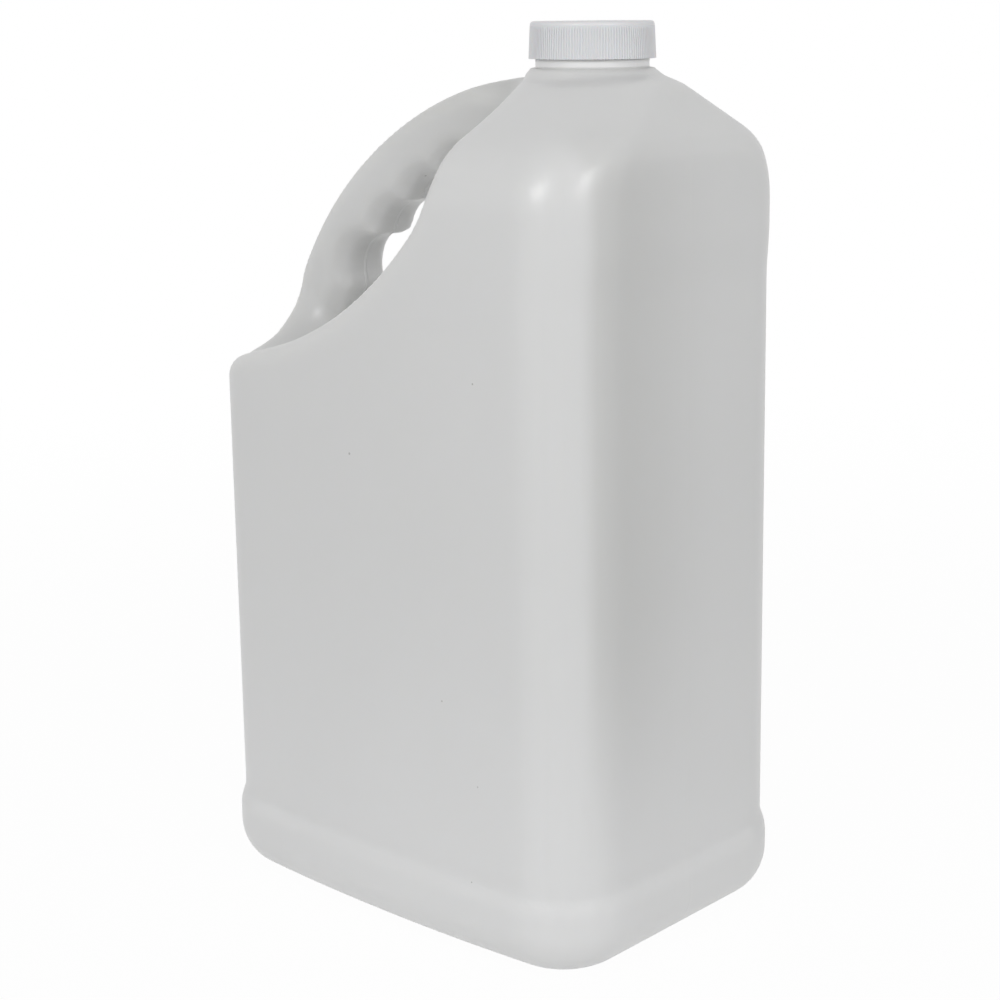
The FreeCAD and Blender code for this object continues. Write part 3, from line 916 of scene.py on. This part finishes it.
class JUG_OT_body(bpy.types.Operator):
    """Builds the blown body with its neck and thread"""
    bl_idname = "jug.body"
    bl_label = "Jug Body"

    def execute(self, context):
        sizes = context.scene.jug_body
        material = natural_hdpe(tuple(sizes.tint))
        tree = body_tree(material)
        forms = {
            "Edge Round": sizes.edge_round / MM,
            "Grip Round": sizes.grip_round / MM,
        }
        wall = sizes.wall / MM
        bm = bmesh.new()
        add_mesh(bm, grow(tree, {**forms, "Cell": sizes.inner_cell / MM, "Skin": wall}))
        bmesh.ops.reverse_faces(bm, faces=bm.faces)
        open_top(bm, NECK_START - wall, BORE_RADIUS + OPENING_CLEAR_INNER, BORE_RADIUS)
        outer_bm = bmesh.new()
        add_mesh(outer_bm, grow(tree, {**forms, "Cell": sizes.cell / MM, "Skin": 0.0}))
        open_top(outer_bm, NECK_START, COLLAR_RADIUS + OPENING_CLEAR, COLLAR_RADIUS)
        outer_mesh = bpy.data.meshes.new("outer")
        outer_bm.to_mesh(outer_mesh)
        outer_bm.free()
        add_mesh(bm, outer_mesh)
        profile = rounded([
            (COLLAR_RADIUS, NECK_START),
            (COLLAR_RADIUS, COLLAR_TOP),
            (FINISH_RADIUS, COLLAR_TOP),
            (FINISH_RADIUS, FINISH_TOP),
            (BORE_RADIUS, FINISH_TOP),
            (BORE_RADIUS, NECK_START - wall),
        ], [0, FINE_ROUND, FINISH_FOOT_ROUND, LIP_ROUND, LIP_ROUND, 0])
        join_rings(bm, [add_ring(bm, radius, height) for radius, height in profile])
        bmesh.ops.remove_doubles(bm, verts=bm.verts, dist=WELD * MM)
        add_closed(bm, grow(thread_tree(material), {}))
        body = finished(bm, "jug", material)
        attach(body, "jug")
        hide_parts("jug_body")
        return {"FINISHED"}


class JUG_OT_cap(bpy.types.Operator):
    """Builds the ribbed screw cap"""
    bl_idname = "jug.cap"
    bl_label = "Screw Cap"

    def execute(self, context):
        sizes = context.scene.jug_cap
        material = white_cap(tuple(sizes.tint))
        depth = sizes.rib_depth / MM
        bm = bmesh.new()
        turned(bm, rounded([
            (0, CAP_HIGH - CAP_TOP),
            (CAP_BORE, CAP_HIGH - CAP_TOP),
            (CAP_BORE, CAP_LOW),
            (CAP_RADIUS - depth, CAP_LOW),
            (CAP_TOP_RADIUS - depth, CAP_WIDEN_LOW),
            (CAP_TOP_RADIUS, CAP_WIDEN_HIGH),
            (CAP_TOP_RADIUS, CAP_HIGH),
            (0, CAP_HIGH),
        ], [0, CAP_BORE_ROUND, FINE_ROUND, FINE_ROUND, 0, 0, sizes.edge / MM, 0]))
        add_closed(bm, grow(rib_tree(material), {"Count": float(sizes.ribs), "Depth": depth}))
        add_closed(bm, grow(thread_tree(material), {
            "Radius": CAP_BORE,
            "Height": CAP_THREAD_LOW,
            "Depth": -THREAD_DEPTH,
            "Start": math.radians(CAP_THREAD_START),
        }))
        cap = finished(bm, "screw_cap", material)
        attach(cap, "closure")
        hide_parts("cap")
        return {"FINISHED"}


class JUG_OT_liner(bpy.types.Operator):
    """Builds the sealing disc inside the cap"""
    bl_idname = "jug.liner"
    bl_label = "Cap Liner"

    def execute(self, context):
        material = liner_foam(tuple(context.scene.jug_cap.liner_tint))
        bm = bmesh.new()
        turned(bm, rounded([
            (0, LINER_LOW),
            (LINER_RADIUS, LINER_LOW),
            (LINER_RADIUS, LINER_HIGH),
            (0, LINER_HIGH),
        ], [0, LINER_ROUND, LINER_ROUND, 0]))
        liner = finished(bm, "liner", material)
        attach(liner, "liner")
        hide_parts("cap_liner")
        return {"FINISHED"}


# Places in metres, powers in watts, angles in degrees and the lens in millimetres
LAMP_SIZE = 0.3
LAMP_TARGET = (0.0, 0.0, 0.15)
LAMPS = (
    ("left_box", (0.254, -1.439, 0.84), 5.8),
    ("right_box", (1.411, -0.458, 0.78), 4.9),
)
CAMERA_PLACE = (0.46722, -0.49532, 0.29953)
CAMERA_AZIMUTH = 41.49
CAMERA_PITCH = 11.90
CAMERA_ROLL = 0.490
CAMERA_SHIFT = (-0.057, -0.06)
LENS = 73.5624
SENSOR = 36.0


def aim(thing, place, target):
    """Puts a lamp at a place and turns it to a target."""
    thing.location = place
    thing.rotation_mode = "QUATERNION"
    thing.rotation_quaternion = (Vector(target) - Vector(place)).to_track_quat("-Z", "Y")


def soft_box(name, place, power):
    """Square area lamp, turned to the jug."""
    lamp = bpy.data.lights.new(name, "AREA")
    lamp.size = LAMP_SIZE
    lamp.energy = power
    holder = bpy.data.objects.new(name, lamp)
    bpy.context.scene.collection.objects.link(holder)
    aim(holder, place, LAMP_TARGET)


class JUG_OT_stage(bpy.types.Operator):
    """Adds the floor, the soft light and the camera"""
    bl_idname = "jug.stage"
    bl_label = "Studio"

    def execute(self, context):
        sizes = context.scene.jug_stage
        bm = bmesh.new()
        bmesh.ops.create_grid(bm, x_segments=1, y_segments=1, size=sizes.floor / 2)
        mesh = bpy.data.meshes.new("floor")
        bm.to_mesh(mesh)
        bm.free()
        mesh.materials.append(studio_floor(tuple(sizes.floor_tint)))
        floor = bpy.data.objects.new("floor", mesh)
        context.scene.collection.objects.link(floor)
        world = bpy.data.worlds.new("studio")
        context.scene.world = world
        world.use_nodes = True
        world.node_tree.nodes.clear()
        kit = Kit(world.node_tree)
        strength = kit.blend(seen(kit), sizes.fill, 1.0)
        sky = kit.value("ShaderNodeBackground", sockets={"Color": WHITE, "Strength": strength})
        kit.node("ShaderNodeOutputWorld", sockets={0: sky})
        for name, place, power in LAMPS:
            soft_box(name, place, power)
        self.add_camera(context)
        context.scene.view_settings.view_transform = "Standard"
        return {"FINISHED"}

    def add_camera(self, context):
        """Camera a little above the shoulders, off the neck end's near corner."""
        lens = bpy.data.cameras.new("camera")
        camera = bpy.data.objects.new("camera", lens)
        context.scene.collection.objects.link(camera)
        lens.sensor_width = SENSOR
        lens.lens = LENS
        lens.shift_x, lens.shift_y = CAMERA_SHIFT
        azimuth = math.radians(CAMERA_AZIMUTH)
        pitch = math.radians(CAMERA_PITCH)
        roll = math.radians(CAMERA_ROLL)
        right = Vector((math.cos(azimuth), math.sin(azimuth), 0))
        level = Vector((-math.sin(azimuth), math.cos(azimuth), 0))
        ahead = level * math.cos(pitch) - Vector((0, 0, 1)) * math.sin(pitch)
        down = ahead.cross(right)
        across = right * math.cos(roll) + down * math.sin(roll)
        below = down * math.cos(roll) - right * math.sin(roll)
        turn = Matrix((across, -below, -ahead)).transposed()
        camera.rotation_mode = "QUATERNION"
        camera.rotation_quaternion = turn.to_quaternion()
        camera.location = CAMERA_PLACE
        context.scene.camera = camera


class JUG_PT_panel(bpy.types.Panel):
    """Sizes and colours of the jug, and a button for each part"""
    bl_idname = "JUG_PT_panel"
    bl_label = "Gallon Jug"
    bl_space_type = "VIEW_3D"
    bl_region_type = "UI"
    bl_category = "Jug"

    def draw(self, context):
        for group, operators in STEPS:
            box = self.layout.box()
            sizes = getattr(context.scene, group)
            for name in sizes.bl_rna.properties.keys():
                if name not in ("rna_type", "name"):
                    box.prop(sizes, name)
            for operator in operators:
                box.operator(operator.bl_idname)


STEPS = (
    ("jug_body", (JUG_OT_body,)),
    ("jug_cap", (JUG_OT_cap, JUG_OT_liner)),
    ("jug_stage", (JUG_OT_stage,)),
)
GROUPS = {"jug_body": JugBodySizes, "jug_cap": JugCapSizes, "jug_stage": JugStageSizes}
CLASSES = (*GROUPS.values(), JUG_OT_body, JUG_OT_cap, JUG_OT_liner, JUG_OT_stage, JUG_PT_panel)


def register():
    for made in CLASSES:
        bpy.utils.register_class(made)
    for name, group in GROUPS.items():
        setattr(bpy.types.Scene, name, bpy.props.PointerProperty(type=group))


def unregister():
    for name in GROUPS:
        delattr(bpy.types.Scene, name)
    for made in reversed(CLASSES):
        bpy.utils.unregister_class(made)


def main():
    register()
    bpy.ops.jug.body()
    bpy.ops.jug.cap()
    bpy.ops.jug.liner()
    bpy.ops.jug.stage()


if __name__ == "__main__":
    main()
